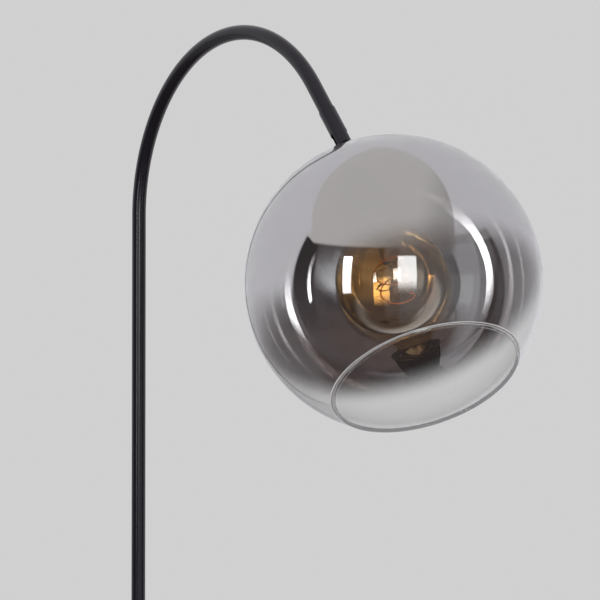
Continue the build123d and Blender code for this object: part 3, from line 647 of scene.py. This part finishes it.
# stage
studio = {
    "wallTone": 0.635,       # what the camera sees behind the lamp
    "floorTone": 0.66,
    "floorNear": 0.9,        # from here to floorFar the floor passes into the wall's tone
    "floorFar": 3.0,
    "fill": 0.62,            # even light from all round
    "paleTint": (1.0, 0.994, 0.996),
    # what mirrors and the film see of the room, by direction
    "leftWallTone": (0.78, 0.77, 0.80),
    "leftWallLowTone": (0.42, 0.41, 0.42),
    "rightWallTone": (0.77, 0.76, 0.79),
    "ceilingTone": (0.69, 0.67, 0.655),
    "ceilingRightTone": (0.47, 0.45, 0.45),
    "mirroredFloor": (0.15, 0.12, 0.11),
    # the open room toward the camera, by azimuth from the camera to image right
    "roomTone": (0.05, 0.045, 0.045),
    "roomParts": (           # from, to, lowest and highest sine of height, tone
        (-66, 2, -0.45, 0.46, (0.11, 0.10, 0.105)),
        (-9, 2, -0.45, 0.46, (0.36, 0.35, 0.36)),
        (2, 66, -0.55, 0.46, (0.60, 0.60, 0.62)),
        (42, 65, -0.26, 0.08, (0.80, 0.81, 0.83)),
    ),
    "partSoft": {"side": 0.02, "foot": 0.05, "head": 0.03},
    # the room's corner behind the lamp: planes seen from the globe as (right, back, up)
    "leftWall": (0.60, 0.80, 0.69),
    "rightWall": (-0.81, 0.585, 0.417),
    "doorEdge": (0.045, 1.0, -0.14),
    # where one tone passes into the next: middle and softness
    "cornerAt": (0.0, 0.012),
    "doorEdgeAt": (0.035, 0.02),
    "doorTopAt": (0.52, 0.02),     # the wall goes on above the open side
    "ceilingAt": (0.425, 0.02),
    "doorHeadAt": (0.868, 0.008),  # the doorway at the far left
    "doorHead": 0.09,              # how much higher it reaches
    "groundAt": (-0.45, 0.2),
    "skirtingAt": (-0.8, 0.08),
    "leftWallFallAt": (-0.12, 0.14),
    "wallsMeetAt": (0.0, 0.2),
    "ceilingTurnsAt": (0.42, 0.2),
    # azimuth, lowest and highest degree, width in degrees, distance, glow, share that fades at the foot
    "windows": {
        "windowNear": (7.6, -8.5, 19, 14.0, 3.2, 7.6, 0.38),
        "windowLeft": (-37.2, -9, 18, 6.5, 2.6, 10.5, 0.06),
    },
    "windowFadeTop": 0.06,
    "overhead": {"width": 1.8, "above": 2.2, "nearer": 0.6, "power": 38},
    "floorHalf": 3.6,
    "floorMottle": (0.97, 3.0),    # darker shade, scale
}
mirroredOnce = 0.5                 # Glossy Depth is above this once a path was mirrored


def makeWorld():
    world = bpy.data.worlds.new("studioRoom")
    bpy.context.scene.world = world
    world.use_nodes = True
    tree = world.node_tree
    tree.nodes.clear()
    calc = mathMaker(tree)
    out = addNode(tree, "ShaderNodeOutputWorld", (1200, 0))
    path = addNode(tree, "ShaderNodeLightPath", (-300, 500))
    coords = addNode(tree, "ShaderNodeTexCoord", (-1100, 0))

    def along(right, back, up):
        dot = addNode(tree, "ShaderNodeVectorMath", operation="DOT_PRODUCT")
        dot.inputs[1].default_value = viewRight * right + viewBack * back + Vector((0, 0, up))
        tree.links.new(coords.outputs["Generated"], dot.inputs[0])
        return dot.outputs["Value"]

    def edge(value, name, sign=1):
        middle, soft = studio[name]
        return edgeMask(tree, value, sign * middle, soft)

    height, sideways = along(0, 0, 1), along(1, 0, 0)
    soft = studio["partSoft"]

    def past(azimuth):
        crossed = along(cos(radians(azimuth)), -sin(radians(azimuth)), 0)
        return edgeMask(tree, crossed, 0.0, soft["side"])

    room = studio["roomTone"]
    for start, end, low, high, tone in studio["roomParts"]:
        across = calc("MULTIPLY", past(start), calc("SUBTRACT", 1, past(end)))
        upright = calc("MULTIPLY", edgeMask(tree, height, low, soft["foot"]),
                       calc("SUBTRACT", 1, edgeMask(tree, height, high, soft["head"])))
        room = mixTone(tree, "roomMix", calc("MULTIPLY", across, upright), room, tone)
    ground = mixTone(tree, "groundMix", edge(height, "groundAt"), studio["mirroredFloor"], room)
    doorway = calc("MULTIPLY", edge(calc("MULTIPLY", sideways, -1), "doorHeadAt"), studio["doorHead"])
    ceiling = mixTone(tree, "ceilingSides", edge(sideways, "ceilingTurnsAt"), studio["ceilingTone"],
                      studio["ceilingRightTone"])
    openSide = mixTone(tree, "ceilingMix", edge(calc("SUBTRACT", height, doorway), "ceilingAt"), ground, ceiling)
    leftSide = mixTone(tree, "leftWallMix", edge(height, "leftWallFallAt"), studio["leftWallLowTone"],
                       studio["leftWallTone"])
    walls = mixTone(tree, "wallMix", edge(sideways, "wallsMeetAt"), leftSide, studio["rightWallTone"])
    walls = mixTone(tree, "skirtingMix", edge(height, "skirtingAt"), studio["mirroredFloor"], walls)
    beyond = calc("MULTIPLY", edge(along(*studio["doorEdge"]), "doorEdgeAt"),
                  edge(calc("MULTIPLY", height, -1), "doorTopAt", sign=-1))
    inRoom = calc("MULTIPLY", edge(along(*studio["leftWall"]), "cornerAt"),
                  edge(along(*studio["rightWall"]), "cornerAt"))
    around = mixTone(tree, "openMix", calc("MAXIMUM", beyond, inRoom), walls, openSide)
    mirrored = addNode(tree, "ShaderNodeBackground", (300, 100))
    tree.links.new(around, mirrored.inputs["Color"])
    plain = addNode(tree, "ShaderNodeBackground", (300, 300), Color=(*studio["paleTint"], 1),
                    Strength=studio["wallTone"])
    lit = addNode(tree, "ShaderNodeBackground", (300, -200), Strength=studio["fill"])
    reflected = calc("GREATER_THAN", path.outputs["Glossy Depth"], mirroredOnce)
    view = mixShaders(tree, reflected, plain.outputs[0], mirrored.outputs[0], (600, 200))
    everything = mixShaders(tree, path.outputs["Is Diffuse Ray"], view, lit.outputs[0], (900, 0))
    tree.links.new(everything, out.inputs["Surface"])


def makeFloor():
    bm = bmesh.new()
    bmesh.ops.create_grid(bm, x_segments=4, y_segments=4, size=studio["floorHalf"])
    mesh = bpy.data.meshes.new("studioFloor")
    bm.to_mesh(mesh)
    bm.free()
    material, tree, out = emptyMaterial("paleFloor")
    calc = mathMaker(tree)
    near, far = studio["floorNear"], studio["floorFar"]
    darker, scale = studio["floorMottle"]
    tone = placeGroup(tree, mottledColour, (-100, 200), {
        "Shade A": (studio["floorTone"],) * 3, "Shade B": (studio["floorTone"] * darker,) * 3, "Scale": scale})
    pale = addNode(tree, "ShaderNodeBsdfPrincipled", (200, 200), **{"Roughness": 0.8, "Specular IOR Level": 0.1})
    tree.links.new(tone.outputs[0], pale.inputs["Base Color"])
    coords = addNode(tree, "ShaderNodeTexCoord", (-900, 0))
    reach = addNode(tree, "ShaderNodeVectorMath", (-700, 0), operation="LENGTH")
    tree.links.new(coords.outputs["Object"], reach.inputs[0])
    sweep = addNode(tree, "ShaderNodeEmission", (200, 0), Color=(*studio["paleTint"], 1),
                    Strength=studio["wallTone"])
    cove = mixShaders(tree, edgeMask(tree, reach.outputs["Value"], (near + far) / 2, (far - near) / 2),
                      pale.outputs[0], sweep.outputs[0], (380, 200))
    unseen = addNode(tree, "ShaderNodeBsdfTransparent", (200, -200))
    path = addNode(tree, "ShaderNodeLightPath", (-100, 500))
    mirrored = calc("GREATER_THAN", path.outputs["Glossy Depth"], mirroredOnce)
    tree.links.new(mixShaders(tree, mirrored, cove, unseen.outputs[0], (650, 0)), out.inputs["Surface"])
    meshPiece("studioFloor", mesh, material)


def softbox(name, azimuth, low, high, wide, away, glow, fadeFoot):
    # an upright panel of light; its angles are seen from the globe, azimuth from the camera to image right
    direction = viewBack * cos(radians(azimuth)) + viewRight * sin(radians(azimuth))
    foot, top = away * tan(radians(low)), away * tan(radians(high))
    data = bpy.data.lights.new(name, "AREA")
    data.shape = "RECTANGLE"
    data.size, data.size_y = 2 * away * tan(radians(wide / 2)), top - foot
    data.energy = glow * pi * data.size * data.size_y
    data.use_nodes = True
    tree = data.node_tree
    emission = next(n for n in tree.nodes if n.type == "EMISSION")
    calc = mathMaker(tree)
    surface = addNode(tree, "ShaderNodeNewGeometry")
    parts = addNode(tree, "ShaderNodeSeparateXYZ")
    tree.links.new(surface.outputs["Parametric"], parts.inputs[0])
    upward, fadeTop = parts.outputs["Y"], studio["windowFadeTop"]
    glowing = calc("MULTIPLY", edgeMask(tree, upward, fadeFoot / 2, fadeFoot / 2),
                   edgeMask(tree, calc("SUBTRACT", 1.0, upward), fadeTop / 2, fadeTop / 2))
    tree.links.new(glowing, emission.inputs["Strength"])
    lamp = bpy.data.objects.new(name, data)
    bpy.context.scene.collection.objects.link(lamp)
    lamp.location = globeCentre + direction * away + Vector((0, 0, (foot + top) / 2))
    lamp.rotation_mode = "QUATERNION"
    lamp.rotation_quaternion = (-direction).to_track_quat("-Z", "Y")


def overhead(name, width, above, nearer, power):
    # a round soft light from above, which no mirror shows
    data = bpy.data.lights.new(name, "AREA")
    data.shape = "DISK"
    data.size = width
    data.energy = power
    lamp = bpy.data.objects.new(name, data)
    bpy.context.scene.collection.objects.link(lamp)
    lamp.location = globeCentre + viewBack * nearer + Vector((0, 0, above))
    lamp.visible_glossy = False
    lamp.visible_transmission = False


makeWorld()
makeFloor()
for name, panel in studio["windows"].items():
    softbox(name, *panel)
overhead("overhead", **studio["overhead"])
print("stage made")

# camera
viewpoint = {"place": (1.6176, -1.0620, 1.2006), "lens": 118.35, "rise": 1.21, "sensor": 36.0,
             "nearest": 0.05, "farthest": 60.0}
lookAt = lookLevel + Vector((0, 0, tan(radians(viewpoint["rise"]))))
camera = bpy.data.objects.new("photoCamera", bpy.data.cameras.new("photoCamera"))
bpy.context.scene.collection.objects.link(camera)
camera.data.sensor_width = viewpoint["sensor"]
camera.data.lens = viewpoint["lens"]
camera.data.clip_start, camera.data.clip_end = viewpoint["nearest"], viewpoint["farthest"]
camera.location = viewpoint["place"]
camera.rotation_mode = "QUATERNION"
camera.rotation_quaternion = lookAt.to_track_quat("-Z", "Y")
bpy.context.scene.camera = camera
bpy.context.scene.view_settings.view_transform = "Standard"

print("scene done")
